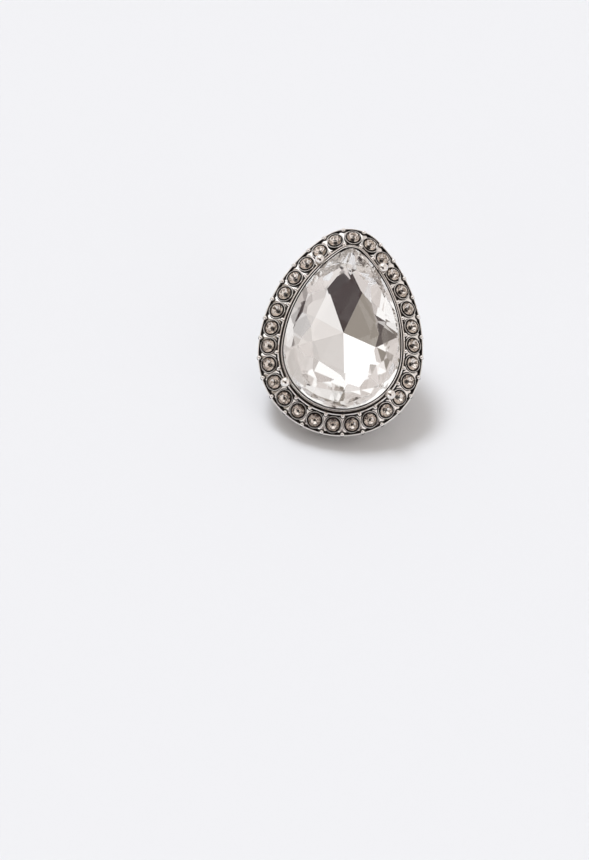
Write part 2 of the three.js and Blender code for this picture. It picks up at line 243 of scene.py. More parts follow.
def pear_arcs():
    """Rows of centre x, centre y, radius, first angle, last angle: the girdle outline's five
    tangent arcs, counter-clockwise from the top of the tip. The flanks' radius is the one that
    makes them tangent to the round end and the tip."""
    pear = bpy.context.scene.earring_pear
    end = pear.width / 2
    tip_y = pear.height - end - pear.tip_radius
    flank = (end ** 2 - pear.tip_radius ** 2 + tip_y ** 2) / (2 * (end - pear.tip_radius))
    side = flank - end
    turn = math.atan2(tip_y, side)
    return np.array([
        (0, tip_y, pear.tip_radius, 0.5 * math.pi, math.pi - turn),
        (side, 0, flank, math.pi - turn, math.pi),
        (0, 0, end, math.pi, 2 * math.pi),
        (-side, 0, flank, 2 * math.pi, 2 * math.pi + turn),
        (0, tip_y, pear.tip_radius, 2 * math.pi + turn, 2.5 * math.pi),
    ])


def stations(shares, offset=0.0):
    """Places round the outline: a share of the way round the curve that runs at this offset, as
    rows of arc centre x, arc centre y, arc radius and angle. The share of the whole length picks
    the arc, and what is left of it, divided by the arc's radius there, is the angle on it."""
    arcs = pear_arcs()
    shares, offset = np.broadcast_arrays(np.asarray(shares, float), np.asarray(offset, float))
    lengths = (arcs[:, 4] - arcs[:, 3]) * (arcs[:, 2] + offset[..., None])
    ends = np.cumsum(lengths, axis=-1)
    along = (shares % 1.0) * ends[..., -1]
    index = np.minimum((along[..., None] >= ends).sum(-1), len(arcs) - 1)
    picked = arcs[index]
    start = np.take_along_axis(ends - lengths, index[..., None], -1)[..., 0]
    angle = picked[..., 3] + (along - start) / (picked[..., 2] + offset)
    return np.stack([picked[..., 0], picked[..., 1], picked[..., 2], angle], axis=-1)


def outline(places, offset):
    """x and y of places at an offset: arc centre plus the arc's radius and the offset along the
    outward normal."""
    reach = places[..., 2] + offset
    return np.stack([
        places[..., 0] + reach * np.cos(places[..., 3]),
        places[..., 1] + reach * np.sin(places[..., 3]),
    ], axis=-1)


def band_start():
    """Offset of the band's inner edge: past the gap, the collet and the moat."""
    setting = bpy.context.scene.earring_setting
    return setting.gap + setting.collet + setting.moat


def band_level(offset):
    """Level of the band's upper surface: zero on the row's centre line, falling outwards."""
    scene = bpy.context.scene
    return (scene.earring_halo.offset - offset) * math.tan(scene.earring_setting.slope)


def on_band(shares, offset, rise=0.0):
    """Points on the band and their axes along, across and out of it: the foot on the sloped
    surface plus the rise along its normal."""
    slope = bpy.context.scene.earring_setting.slope
    places = stations(shares, offset)
    foot = outline(places, offset)
    nx, ny = np.cos(places[..., 3]), np.sin(places[..., 3])
    flat = np.zeros_like(nx)
    along = np.stack([ny, -nx, flat], -1)
    out = np.stack([nx * math.sin(slope), ny * math.sin(slope), flat + math.cos(slope)], -1)
    across = np.cross(out, along)
    level = np.broadcast_to(band_level(np.asarray(offset, float)), nx.shape)
    points = np.concatenate([foot, level[..., None]], -1) + out * np.asarray(rise)[..., None]
    return points, np.stack([along, across, out], -2)


# Laying down

def lying_pose():
    """Axes and origin of the earring's own frame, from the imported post: the post runs along the
    frame's z axis, and its far end is at a known place in that frame."""
    scene = bpy.context.scene
    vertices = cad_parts["ear_post"].data.vertices
    points = np.empty(len(vertices) * 3)
    vertices.foreach_get("co", points)
    points = np.unique(np.round(points.reshape(-1, 3), 7), axis=0)
    middle = points.mean(axis=0)
    z_axis = np.linalg.svd(points - middle)[2][0]
    z_axis = z_axis * np.sign(z_axis[2])
    x_axis = np.array([1.0, 0.0, 0.0])
    axes = np.stack([x_axis, np.cross(z_axis, x_axis), z_axis])
    far_end = middle + z_axis * ((points - middle) @ z_axis).min()
    post = scene.earring_post
    far_place = np.array([0.0, post.place, -scene.earring_setting.back - post.reach])
    return axes, far_end - far_place @ axes


# Meshes

def grid_faces(rows, columns, wrap_rows=False, wrap_columns=True):
    """Quads of a grid of points listed row by row."""
    row = np.arange(rows if wrap_rows else rows - 1)[:, None]
    column = np.arange(columns if wrap_columns else columns - 1)[None, :]
    next_row, next_column = (row + 1) % rows, (column + 1) % columns
    corners = [row * columns + column, row * columns + next_column,
               next_row * columns + next_column, next_row * columns + column]
    return np.stack(np.broadcast_arrays(*corners), -1).reshape(-1, 4)


def capped(grid):
    """Points and faces of a grid whose rows are closed rings, with its first and last rows drawn
    together into poles."""
    rows, columns = grid.shape[:2]
    ring = grid[1:-1].reshape(-1, 3)
    points = np.concatenate([ring, grid[:1, 0], grid[-1:, 0]])
    around = np.arange(columns)
    after = (around + 1) % columns
    last = (rows - 3) * columns
    first_pole = np.full(columns, len(ring))
    faces = grid_faces(rows - 2, columns).tolist()
    faces += np.stack([first_pole, after, around], -1).tolist()
    faces += np.stack([first_pole + 1, last + around, last + after], -1).tolist()
    return points, faces


def softened(profile, radius, nearly_half=0.45):
    """A section line with each inner corner rounded: the corner becomes a quadratic curve that
    starts and ends a radius away, or nearly half the way to the next corner."""
    profile = np.asarray(profile, float)
    before, corner, after = profile[:-2], profile[1:-1], profile[2:]
    t = np.linspace(0, 1, SOFT_STEPS)[None, :, None]
    ends = []
    for other in (before, after):
        run = np.linalg.norm(other - corner, axis=1)
        part = np.minimum(radius, nearly_half * run) / run
        ends.append((corner + (other - corner) * part[:, None])[:, None])
    start, end = ends
    curve = (1 - t) ** 2 * start + 2 * t * (1 - t) * corner[:, None] + t ** 2 * end
    return np.concatenate([profile[:1], curve.reshape(-1, profile.shape[1]), profile[-1:]])


def turned(profile, sides=TURNED_SIDES):
    """A surface turned about z from radius and height: x is the radius times the cosine of the
    angle round, y the radius times its sine."""
    profile = np.asarray(profile, float)
    angle = np.arange(sides) * 2 * math.pi / sides
    grid = np.empty((len(profile), sides, 3))
    grid[..., 0] = profile[:, :1] * np.cos(angle)
    grid[..., 1] = profile[:, :1] * np.sin(angle)
    grid[..., 2] = profile[:, 1:]
    return grid


def repeated(points, faces, origins, axes):
    """Copies of a shape: each point is an origin plus the shape's coordinates along its axes."""
    copies = np.einsum("pi,kij->kpj", points, axes) + origins[:, None]
    steps = np.arange(len(origins)) * len(points)
    all_faces = [[corner + step for corner in face] for step in steps.tolist() for face in faces]
    return copies.reshape(-1, 3), all_faces


def joined(shapes):
    """Several shapes as one list of points and one of faces."""
    points = np.concatenate([shape[0] for shape in shapes])
    faces = []
    start = 0
    for shape_points, shape_faces in shapes:
        faces += [[corner + start for corner in face] for face in shape_faces]
        start += len(shape_points)
    return points, faces


def add_piece(name, points, faces, materials, slots=None, smooth=True):
    """One object from points in the earring's frame, laid down, with its faces pointing out."""
    axes, origin = lying_pose()
    mesh = bpy.data.meshes.new(name)
    mesh.from_pydata((points @ axes + origin).tolist(), [], faces)
    for material in materials:
        mesh.materials.append(material)
    if slots is not None:
        mesh.polygons.foreach_set("material_index", np.asarray(slots, np.int32))
    mesh.polygons.foreach_set("use_smooth", np.full(len(mesh.polygons), smooth))
    shell = bmesh.new()
    shell.from_mesh(mesh)
    bmesh.ops.recalc_face_normals(shell, faces=shell.faces)
    shell.to_mesh(mesh)
    shell.free()
    mesh.update()
    piece = bpy.data.objects.new(name, mesh)
    bpy.context.scene.collection.objects.link(piece)
    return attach(piece, BODY)


# Materials

def linear(code):
    """A hex sRGB value as linear red, green, blue and alpha."""
    values = np.array([int(code[k:k + 2], 16) for k in (1, 3, 5)]) / 255
    low = values / 12.92
    high = ((values + 0.055) / 1.055) ** 2.4
    return (*np.where(values <= 0.04045, low, high).tolist(), 1.0)


def add_node(tree, kind, settings=None, **inputs):
    """A node with its settings and its inputs, each a value or the socket that feeds it. An
    input is named, with _ for a space, or is _0, _1 and so on by its place."""
    node = tree.nodes.new("ShaderNode" + kind)
    for key, value in (settings or {}).items():
        setattr(node, key, value)
    for key, value in inputs.items():
        name = key.replace("_", " ")
        socket = node.inputs[int(name[1:])] if name[1:].isdigit() else node.inputs[name]
        if isinstance(value, bpy.types.NodeSocket):
            tree.links.new(value, socket)
        else:
            socket.default_value = value
    return node


def new_material(name):
    """A material whose node tree is still empty, and that tree."""
    material = bpy.data.materials.new(name)
    material.use_nodes = True
    material.node_tree.nodes.clear()
    return material, material.node_tree


def finish_material(material, shader):
    """The material with its shader on the surface."""
    output = add_node(material.node_tree, "OutputMaterial", Surface=shader.outputs[0])
    output.is_active_output = True
    return material


def polished_rhodium():
    """Rhodium plate over a casting, tumbled and polished: a bright, slightly warm mirror with
    the faint waviness of the casting and a fine haze where polishing doesn't reach."""
    material, tree = new_material("polished_rhodium")
    place = add_node(tree, "TexCoord").outputs["Object"]
    wave_size = 0.45 * MM
    haze_size = 1.3 * MM
    wave = add_node(tree, "TexNoise", Vector=place, Scale=1 / wave_size, Detail=2.0, Roughness=0.5)
    haze = add_node(tree, "TexNoise", Vector=place, Scale=1 / haze_size, Detail=3.0, Roughness=0.6)
    rough = add_node(tree, "MapRange", Value=haze.outputs["Fac"], From_Min=0.35, From_Max=0.7,
                     To_Min=0.07, To_Max=0.2)
    bump = add_node(tree, "Bump", Height=wave.outputs["Fac"], Strength=0.35, Distance=0.02 * MM)
    shader = add_node(tree, "BsdfPrincipled", Metallic=1.0,
                      Base_Color=linear(bpy.context.scene.earring_finish.rhodium),
                      Roughness=rough.outputs["Result"], Normal=bump.outputs["Normal"])
    return finish_material(material, shader)


def painted_recess_shade():
    """Painted shade for the frame's recesses: dark, dull, slightly grainy metal that stands in for the
    shade in the hollows, cuts and grooves.
    """
    material, tree = new_material("painted_recess_shade")
    place = add_node(tree, "TexCoord").outputs["Object"]
    grain_size = 0.2 * MM
    grain = add_node(tree, "TexNoise", Vector=place, Scale=1 / grain_size, Detail=3.0)
    bump = add_node(tree, "Bump", Height=grain.outputs["Fac"], Strength=0.5, Distance=0.03 * MM)
    shader = add_node(tree, "BsdfPrincipled", Metallic=0.6, Roughness=0.45,
                      Base_Color=linear(bpy.context.scene.earring_finish.recess),
                      Normal=bump.outputs["Normal"])
    return finish_material(material, shader)


def cut_crystal(name, ior, haze):
    """Clear lead crystal, cut and polished: bright reflections on flat facets, with the depth
    of the glass under them."""
    material, tree = new_material(name)
    shader = add_node(tree, "BsdfPrincipled", Roughness=haze, IOR=ior, Transmission_Weight=1.0,
                      Base_Color=(1.0, 1.0, 1.0, 1.0))
    return finish_material(material, shader)


def mirror_foil(name, code, haze):
    """Silver mirror laid on the back facets and seen through the crystal: clean and clear when
    new, tinted and hazy when aged."""
    material, tree = new_material(name)
    shader = add_node(tree, "BsdfPrincipled", Metallic=1.0, Roughness=haze, Base_Color=linear(code))
    return finish_material(material, shader)


def drawn_steel():
    """Stainless wire, drawn: grey, with fine lines along it."""
    material, tree = new_material("drawn_steel")
    place = add_node(tree, "TexCoord").outputs["Object"]
    line_width = 0.08 * MM
    stretch = 0.08
    stretched = add_node(tree, "Mapping", Vector=place, Scale=(1.0, stretch, stretch))
    lines = add_node(tree, "TexNoise", Vector=stretched.outputs[0], Scale=1 / line_width, Detail=2.0)
    rough = add_node(tree, "MapRange", Value=lines.outputs["Fac"], To_Min=0.25, To_Max=0.42)
    bump = add_node(tree, "Bump", Height=lines.outputs["Fac"], Strength=0.3, Distance=0.01 * MM)
    shader = add_node(tree, "BsdfPrincipled", Metallic=1.0, Roughness=rough.outputs["Result"],
                      Base_Color=linear(bpy.context.scene.earring_finish.steel),
                      Normal=bump.outputs["Normal"])
    return finish_material(material, shader)


def matt_sheet():
    """Smooth matt paper under the earring."""
    material, tree = new_material("matt_sheet")
    shader = add_node(tree, "BsdfPrincipled", Roughness=0.85, Specular_IOR_Level=0.1,
                      Base_Color=linear(bpy.context.scene.earring_finish.sheet))
    return finish_material(material, shader)


# Setting

def setting_section():
    """The frame's section as rows of offset, share of the way out from the stone's middle, and
    level, from the middle of the back round to the middle of the cup, with a mark: a stretch
    between two marked rows takes painted shade, the dark recess colour in the hollows."""
    scene = bpy.context.scene
    setting, pear = scene.earring_setting, scene.earring_pear
    inner = band_start()
    outer = inner + setting.band
    wall_top = band_level(outer) + setting.lip_rise - setting.lip / 2
    groove_low = -setting.back + setting.base_lip
    groove_high = groove_low + setting.groove
    wall_middle = (wall_top + groove_high) / 2
    trough_in, trough_out = inner + setting.lip, outer - setting.lip
    back_edge = outer - setting.undercut
    lean = setting.undercut / (wall_top + setting.back)

    def wall(level, out=0.0):
        return back_edge + lean * (level + setting.back) + out

    collet_out = setting.gap + setting.collet
    collet_side = setting.collet_top - setting.collet / 3
    girdle_low = pear.girdle_level - pear.girdle / 2
    cup = girdle_low - pear.pavilion
    rows = [
        (back_edge, 0.0, -setting.back, 0),
        (back_edge - setting.back_bevel, 1, -setting.back, 0),
        (wall(-setting.back + setting.back_bevel), 1, -setting.back + setting.back_bevel, 0),
        (wall(groove_low), 1, groove_low, 1),
        (wall(groove_low, -setting.groove_depth), 1, groove_low, 1),
        (wall(groove_high, -setting.groove_depth), 1, groove_high, 1),
        (wall(groove_high), 1, groove_high, 0),
        (wall(wall_middle, setting.bulge), 1, wall_middle, 0),
        (outer, 1, wall_top, 0),
        (outer - setting.lip / 2, 1, band_level(outer - setting.lip / 2) + setting.lip_rise, 0),
        (trough_out, 1, band_level(trough_out), 1),
        (trough_out, 1, band_level(trough_out) - setting.trough, 1),
        (trough_in, 1, band_level(trough_in) - setting.trough, 1),
        (trough_in, 1, band_level(trough_in), 0),
        (inner + setting.lip / 2, 1, band_level(inner + setting.lip / 2) + setting.lip_rise, 0),
        (inner, 1, band_level(inner), 1),
        (inner, 1, setting.moat_floor, 1),
        (collet_out, 1, setting.moat_floor, 1),
        (collet_out, 1, collet_side, 0),
        (setting.gap + setting.collet / 2, 1, setting.collet_top, 1),
        (setting.gap, 1, collet_side, 1),
        (setting.gap, 1, cup - setting.collet, 1),
        (setting.gap, 0.0, cup - setting.collet, 1),
    ]
    return np.array(rows)


def setting_shell():
    """The section carried round the outline: a point is the stone's middle plus its share of the
    way out to the outline at its offset."""
    scene = bpy.context.scene
    section = softened(setting_section(), scene.earring_setting.softening)
    places = stations(np.arange(OUTLINE_STEPS) / OUTLINE_STEPS, scene.earring_halo.offset)
    middle = np.array([0.0, scene.earring_pear.middle])
    rings = outline(places[None], section[:, 0, None])
    grid = np.empty((len(section), OUTLINE_STEPS, 3))
    grid[..., :2] = middle + section[:, 1, None, None] * (rings - middle)
    grid[..., 2] = section[:, 2, None]
    points, faces = capped(grid)
    # Marked stretches, the groove, trough, moat, inner collet wall and cup, take painted shade
    marked = section[1:-1, 3] > 0.5
    slots = np.repeat(marked[:-1] & marked[1:], OUTLINE_STEPS).astype(int)
    caps = np.repeat([0, 1], OUTLINE_STEPS)
    return points, faces, np.concatenate([slots, caps])


def webs():
    """The metal between two neighbouring small stones, from lip to lip, seen from above an
    hourglass. At each distance from the row's centre line its length is the pitch less half a
    chord of each seat, a square root, and is never over the web's own length. Its top falls to
    its sides as a square."""
    scene = bpy.context.scene
    halo, setting = scene.earring_halo, scene.earring_setting
    radius = halo.seat / 2 + halo.ring / 2
    low, high = band_start() + setting.lip / 2, band_start() + setting.band - setting.lip / 2
    offset = np.linspace(low, high, WEB_ROWS)
    from_line = (offset - halo.offset) / math.cos(setting.slope)
    arcs = pear_arcs()
    whole = ((arcs[:, 4] - arcs[:, 3]) * (arcs[:, 2] + offset[:, None])).sum(-1)
    chord = np.sqrt(np.maximum(radius ** 2 - from_line ** 2, 0.0))
    edge = np.maximum(chord, (whole / halo.count - halo.web) / 2) / whole
    across = np.linspace(0, 1, WEB_COLUMNS)
    first = np.arange(halo.count)[:, None, None] / halo.count
    shares = first + edge[:, None] + across * (1 / halo.count - 2 * edge[:, None])
    places = np.broadcast_to(offset[:, None], shares.shape)
    ridge = -halo.web_drop - halo.web_fall * (2 * across - 1) ** 2
    top, _ = on_band(shares, places, np.broadcast_to(ridge, shares.shape))
    foot, _ = on_band(shares, places, np.full(shares.shape, -setting.trough))
    face_grid = grid_faces(WEB_ROWS, WEB_COLUMNS, wrap_columns=False)
    count = WEB_ROWS * WEB_COLUMNS
    index = np.arange(count).reshape(WEB_ROWS, WEB_COLUMNS)
    rim = np.concatenate([index[0, :-1], index[:-1, -1], index[-1, :0:-1], index[:0:-1, 0]])
    ahead = np.roll(rim, -1)
    sides = np.stack([rim, rim + count, ahead + count, ahead], -1)
    block = np.concatenate([face_grid, face_grid[:, ::-1] + count, sides]).tolist()
    shapes = [(np.concatenate([t.reshape(-1, 3), f.reshape(-1, 3)]), block) for t, f in zip(top, foot)]
    dark = np.ones(len(block), int)
    # Faces near the row's centre line stay bright rhodium; the rest of the top and the sides take
    # painted shade
    polished = np.abs(from_line[:-1] + from_line[1:]) / 2 < halo.web_shade_start
    dark[:len(face_grid)][np.repeat(polished, WEB_COLUMNS - 1)] = 0
    return *joined(shapes), np.tile(dark, halo.count)


def seat_rings():
    """The thin ring round each small stone: a closed section turned about the stone's axis, with
    only its top in bright rhodium and its sides and underside in painted shade."""
    scene = bpy.context.scene
    halo, setting = scene.earring_halo, scene.earring_setting
    inner, outer = halo.seat / 2, halo.seat / 2 + halo.ring
    low, high = -setting.trough, halo.proud / 2
    corners = [(outer, low), (outer, high), (inner, high), (inner, low)]
    section = softened([corners[-1], *corners, corners[0]], setting.softening)[1:-1]
    grid = turned(section)
    faces = grid_faces(len(section), TURNED_SIDES, wrap_rows=True).tolist()
    middle = (section[:, 1] + np.roll(section[:, 1], -1)) / 2
    # Faces under the ring's top take painted shade
    dark = np.repeat((middle < high - setting.softening).astype(int), TURNED_SIDES)
    origins, axes = on_band(np.arange(halo.count) / halo.count, np.full(halo.count, halo.offset),
                            np.zeros(halo.count))
    return *repeated(grid.reshape(-1, 3), faces, origins, axes), np.tile(dark, halo.count)


def ball_section(radius, neck, foot, steps):
    """A ball on a round neck, from its foot up: the neck's radius up to where it meets the ball,
    and then the circle's radius times the sine and cosine of the angle from the top."""
    start = math.pi - math.asin(min(1.0, neck / radius))
    angle = np.linspace(start, 0, steps)
    circle = np.stack([radius * np.sin(angle), radius * np.cos(angle)], -1)
    return np.concatenate([[(0, foot), (neck, foot)], circle])


def grip_beads():
    """The beads that grip the small stones, one on each side of the row in each gap, and the
    cut round each, in painted shade: the first two stretches of the turned section, and its underside."""
    halo = bpy.context.scene.earring_halo
    radius = halo.bead / 2
    floor = -halo.web_drop - halo.bead_rise + BEAD_CUT_RISE * halo.bead_ring
    cut_edge = radius + halo.bead_ring
    section = ball_section(radius, BEAD_NECK * radius, floor, BEAD_STEPS)
    section = np.concatenate([[(0, floor - halo.bead_ring), (cut_edge, floor - halo.bead_ring),
                               (cut_edge, floor)], section[1:]])
    points, faces = capped(turned(section))
    # The cut round the bead and its underside take painted shade
    dark = np.zeros(len(faces), int)
    dark[:2 * TURNED_SIDES] = 1
    dark[-2 * TURNED_SIDES:-TURNED_SIDES] = 1
    shares = (np.arange(halo.count) + 0.5) / halo.count
    shapes = []
    for offset in (halo.offset - halo.bead_from_row, halo.offset + halo.bead_from_row):
        origins, axes = on_band(shares, np.full(halo.count, offset),
                                np.full(halo.count, halo.bead_rise))
        shapes.append(repeated(points, faces, origins, axes))
    return *joined(shapes), np.tile(dark, 2 * halo.count)


def claws():
    """The ball claws, upright beside the pear stone's girdle."""
    scene = bpy.context.scene
    setting = scene.earring_setting
    radius = setting.claw / 2
    foot = setting.moat_floor - setting.claw_level
    section = ball_section(radius, setting.claw_neck / 2, foot, CLAW_STEPS)
    points, faces = capped(turned(section))
    shares = np.array(CLAW_PITCHES) / scene.earring_halo.count
    places = stations(shares, setting.claw_offset)
    flat = outline(places, setting.claw_offset)
    origins = np.concatenate([flat, np.full((len(flat), 1), setting.claw_level)], -1)
    upright = np.broadcast_to(np.eye(3), (len(flat), 3, 3))
    return *repeated(points, faces, origins, upright), None


class EARRING_OT_setting(Operator):
    """Adds the cast frame with its seats, beads and claws"""

    bl_idname = "earring.setting"
    bl_label = "Setting"

    def execute(self, context):
        # The second finish, recess, is the painted shade of the hollows, cuts and grooves
        rhodium, recess = polished_rhodium(), painted_recess_shade()
        shapes = (("setting_shell", setting_shell()), ("setting_webs", webs()),
                  ("seat_rings", seat_rings()), ("grip_beads", grip_beads()), ("ball_claws", claws()))
        for name, (points, faces, slots) in shapes:
            finishes = [rhodium] if slots is None else [rhodium, recess]
            piece = add_piece(name, points, faces, finishes, slots)
            if name in ("setting_webs", "grip_beads"):
                piece.data.set_sharp_from_angle(angle=math.radians(SHARP_TURN))
            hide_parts("cast_frame")
        return {"FINISHED"}


# Stones

def cut(outline_points, low, high, planes):
    """A prism over an outline with all that lies outside each plane cut away. A plane is a
    point and an outward normal. It is cut in millimetres, as the cutter's tolerance is fixed."""
    count = len(outline_points)
    levels = np.repeat([low, high], count)[:, None]
    points = np.concatenate([np.tile(outline_points, (2, 1)), levels], -1) / MM
    index = np.arange(count)
    after = (index + 1) % count
    sides = np.stack([index, after, after + count, index + count], -1).tolist()
    mesh = bpy.data.meshes.new("prism")
    mesh.from_pydata(points.tolist(), [], [index[::-1].tolist(), (index + count).tolist(), *sides])
    solid = bmesh.new()
    solid.from_mesh(mesh)
    bpy.data.meshes.remove(mesh)
    for point, normal in planes:
        whole = solid.verts[:] + solid.edges[:] + solid.faces[:]
        bmesh.ops.bisect_plane(solid, geom=whole, dist=CUT_TOLERANCE, clear_outer=True,
                               plane_co=np.asarray(point) / MM, plane_no=normal)
        rim = [edge for edge in solid.edges if edge.is_boundary]
        if rim:
            bmesh.ops.holes_fill(solid, edges=rim, sides=0)
    bmesh.ops.recalc_face_normals(solid, faces=solid.faces)
    corners = np.array([vertex.co for vertex in solid.verts]) * MM
    solid.verts.index_update()
    faces = [[vertex.index for vertex in face.verts] for face in solid.faces]
    normals = np.array([face.normal for face in solid.faces])
    solid.free()
    return corners, faces, normals


def plane_through(a, b, c, inside):
    """The plane through three points, as a point and the normal that points away from inside."""
    normal = np.cross(b - a, c - a)
    normal = normal / np.linalg.norm(normal)
    return a, normal * np.sign((a - inside) @ normal)


def raised(points, level):
    """Flat points with a level as their z."""
    return np.concatenate([points, np.full((len(points), 1), level)], -1)


def crown_planes(rim, middle, foot, height, table, star, star_rise, first_kite=0):
    """Planes of the crown over rim points, two for each main: a kite at each even one, a star
    and two upper-girdle facets at each odd one. A pear stone has an edge instead of the kite at
    its tip, which is the first rim point."""
    inside = np.array([*middle, foot - height])
    edge = raised(rim, foot)
    corner = raised(middle + table * (rim - middle), foot + height)
    tip = raised(middle + star * (rim - middle), foot + star_rise * height)
    count = len(rim)
    planes = []
    for k in range(0, count, 2):
        before, after = (k - 1) % count, (k + 1) % count
        side = tip[after] - tip[before]
        if k >= first_kite:
            planes.append(plane_through(edge[k], corner[k], corner[k] + side, inside))
        planes.append(plane_through(corner[k], corner[(k + 2) % count], tip[after], inside))
        planes.append(plane_through(tip[after], edge[after], edge[k], inside))
        planes.append(plane_through(tip[after], edge[after], edge[(k + 2) % count], inside))
    return planes


def outline_reach(outline_points, start, angle):
    """The point where a ray from a start inside crosses a closed outline."""
    ahead = np.array([math.cos(angle), math.sin(angle)])
    a = outline_points - start
    b = np.roll(outline_points, -1, axis=0) - start
    side_a = ahead[0] * a[:, 1] - ahead[1] * a[:, 0]
    side_b = ahead[0] * b[:, 1] - ahead[1] * b[:, 0]
    crossing = (side_a * side_b <= 0) & ((a + b) @ ahead > 0)
    k = int(np.argmax(crossing))
    part = side_a[k] / (side_a[k] - side_b[k])
    return start + a[k] + part * (b[k] - a[k])


def pavilion_planes(outline_points, culet, top, depth, mains, mains_rise):
    """Planes under the girdle. The mains meet at the culet, and an edge that two of them share
    rises so steeply that it would be up by the mains' rise, a share of the depth, at the girdle.
    It ends at its share of the way. A main's own point is on its plane halfway round to the next
    edge, at its reach, and the facet on each side of it runs through that point, the edge's end
    and the girdle over that end."""
    inside = np.array([*culet, top + depth])
    deep = np.array([*culet, top - depth])
    azimuths = [math.radians(row[0]) for row in mains]
    ends = np.array([outline_reach(outline_points, culet, azimuth) for azimuth in azimuths])
    shares = np.array([row[1] for row in mains])[:, None]
    levels = deep[2] + shares * mains_rise * depth
    corners = np.concatenate([culet + shares * (ends - culet), levels], -1)
    girdle = raised(ends, top)
    planes = []
    for k, (_, _, reach) in enumerate(mains):
        after = (k + 1) % len(mains)
        half = ((azimuths[after] - azimuths[k]) % (2 * math.pi)) / 2
        ahead = outline_reach(outline_points, culet, azimuths[k] + half) - culet
        normal = np.cross(corners[k] - deep, corners[after] - deep)
        drop = reach * (ahead @ normal[:2]) / normal[2]
        point = np.array([*(culet + reach * ahead), deep[2] - drop])
        planes.append(plane_through(deep, corners[k], corners[after], inside))
        planes.append(plane_through(corners[k], girdle[k], point, inside))
        planes.append(plane_through(corners[after], girdle[after], point, inside))
    return planes


def pear_cut():
    """The pear stone's corners, faces and which faces carry foil."""
    pear = bpy.context.scene.earring_pear
    foot = pear.girdle_level + pear.girdle / 2
    top = pear.girdle_level - pear.girdle / 2
    edge = outline(stations(np.arange(PEAR_STEPS) / PEAR_STEPS), 0.0)
    rim = outline(stations(np.arange(2 * CROWN_MAINS) / (2 * CROWN_MAINS)), 0.0)
    planes = crown_planes(rim, np.array([0.0, pear.middle]), foot, pear.crown,
                          pear.table, pear.star, pear.star_rise, first_kite=1)
    planes += pavilion_planes(edge, np.array([0.0, pear.culet]), top, pear.pavilion,
                              PEAR_MAINS, pear.mains_rise)
    corners, faces, normals = cut(edge, top - pear.pavilion, foot + pear.crown, planes)
    return corners, faces, (normals[:, 2] < FOILED_BELOW).astype(int)


def round_cut():
    """A small round stone, girdle in the plane z = 0: eight mains above and below."""
    halo = bpy.context.scene.earring_halo
    angle = np.arange(ROUND_STEPS) * 2 * math.pi / ROUND_STEPS
    edge = halo.stone / 2 * np.stack([np.cos(angle), np.sin(angle)], -1)
    rim = edge[::ROUND_STEPS // (2 * CROWN_MAINS)]
    foot, top = halo.girdle / 2, -halo.girdle / 2
    planes = crown_planes(rim, np.zeros(2), foot, halo.crown, halo.table,
                          ROUND_STAR, ROUND_STAR_RISE)
    planes += pavilion_planes(edge, np.zeros(2), top, halo.pavilion,
                              ROUND_MAINS, ROUND_MAINS_RISE)
    corners, faces, normals = cut(edge, top - halo.pavilion, foot + halo.crown, planes)
    return corners, faces, (normals[:, 2] < FOILED_BELOW).astype(int)


class EARRING_OT_centre_stone(Operator):
    """Adds the foil-backed pear stone"""

    bl_idname = "earring.centre_stone"
    bl_label = "Pear stone"

    def execute(self, context):
        crystal = cut_crystal("cut_lead_crystal", ior=1.56, haze=0.0)
        foil = mirror_foil("silver_mirror_foil", context.scene.earring_finish.foil, haze=0.02)
        corners, faces, foiled = pear_cut()
        stone = add_piece("pear_stone", corners, faces, [crystal, foil], foiled, smooth=False)
        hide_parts("centre_stone")
        return {"FINISHED"}


class EARRING_OT_halo_stones(Operator):
    """Adds the row of small foil-backed stones, each turned its own way"""

    bl_idname = "earring.halo_stones"
    bl_label = "Small stones"

    def execute(self, context):
        halo = context.scene.earring_halo
        crystal = cut_crystal("cut_small_crystal", ior=1.54, haze=0.01)
        foil = mirror_foil("aged_mirror_foil", context.scene.earring_finish.halo_foil, haze=0.06)
        corners, faces, foiled = round_cut()
        chance = np.random.default_rng(SEED)
        origins, axes = on_band(np.arange(halo.count) / halo.count, np.full(halo.count, halo.offset),
                                np.full(halo.count, halo.proud))
        for k in range(halo.count):
            turn = chance.uniform(0, 2 * math.pi)
            lean = chance.normal(0, math.radians(STONE_LEAN), 2)
            own = np.array(Matrix.Rotation(lean[0], 3, "X") @ Matrix.Rotation(lean[1], 3, "Y")
                           @ Matrix.Rotation(turn, 3, "Z"))
            points = origins[k] + corners @ own.T @ axes[k]
            stone = add_piece(f"small_stone_{k + 1:02d}", points, faces, [crystal, foil], foiled,
                              smooth=False)
            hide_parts(f"halo_stone_{k + 1:02d}")
        return {"FINISHED"}


class EARRING_OT_post(Operator):
    """Adds the ear post with the solder at its foot"""

    bl_idname = "earring.post"
    bl_label = "Ear post"

    def execute(self, context):
        post, setting = context.scene.earring_post, context.scene.earring_setting
        radius = post.diameter / 2
        back, far = -setting.back, -setting.back - post.reach
        sag = FILLET_SAG * post.fillet
        rows = [(0, far), (radius - post.chamfer, far), (radius, far + 2 * post.chamfer),
                (radius, back - post.fillet), (radius + sag, back - sag),
                (radius + post.fillet, back), (radius + post.fillet, back + post.fillet),
                (0, back + post.fillet)]
        grid = turned(softened(rows, setting.softening))
        grid[..., 1] += post.place
        points, faces = capped(grid)
        wire = add_piece("steel_post", points, faces, [drawn_steel()])
        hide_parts("ear_post")
        return {"FINISHED"}


# Studio

# Long-lens view of the photograph: how far the camera stands in metres, its height and turns in
# degrees, the picture's size in pixels, its scale, where the object's origin falls in it, and the
# camera's sensor in millimetres and range in metres
CAMERA_DISTANCE = 2.0
CAMERA_ELEVATION = 44.19
CAMERA_TURN = 4.77
CAMERA_ROLL = -10.353
PICTURE_WIDTH, PICTURE_HEIGHT = 589, 860
PIXELS_PER_MM = 8.96
ORIGIN_PIXEL = (334.3, 368.0)
SENSOR = 36.0
CLIP_START, CLIP_END = 0.01, 20.0

